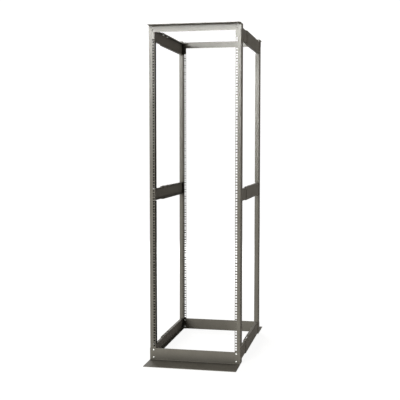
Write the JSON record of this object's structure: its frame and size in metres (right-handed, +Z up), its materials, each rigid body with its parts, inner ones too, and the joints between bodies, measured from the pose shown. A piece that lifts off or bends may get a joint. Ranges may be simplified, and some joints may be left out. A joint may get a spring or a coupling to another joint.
{
  "type": "four post open frame rack",
  "caption": "Free-standing open frame equipment rack with punched channel posts, wide angle feet and telescoping side braces.",
  "frame": {"origin": "on the floor, under the middle of the posts", "axes": "X across the rack with +X to the right seen from the front, +Y from the front to the rear, +Z up"},
  "size_m": [0.5144, 1.083, 1.864],
  "materials": {
    "frame_steel": "satin powder coat, dark warm grey",
    "bolt_zinc": "bright zinc plated bolt heads, added in the visual model"
  },
  "bodies": {
    "root": {"post_front_left": "frame_steel", "post_front_right": "frame_steel", "post_rear_left": "frame_steel", "post_rear_right": "frame_steel", "base_angle_front": "frame_steel", "base_angle_rear": "frame_steel", "top_angle_front": "frame_steel", "top_angle_rear": "frame_steel", "brace_low_left_front": "frame_steel", "brace_low_left_rear": "frame_steel", "brace_low_right_front": "frame_steel", "brace_low_right_rear": "frame_steel", "brace_mid_left_front": "frame_steel", "brace_mid_left_rear": "frame_steel", "brace_mid_right_front": "frame_steel", "brace_mid_right_rear": "frame_steel", "brace_high_left_front": "frame_steel", "brace_high_left_rear": "frame_steel", "brace_high_right_front": "frame_steel", "brace_high_right_rear": "frame_steel"}
  },
  "joints": []
}
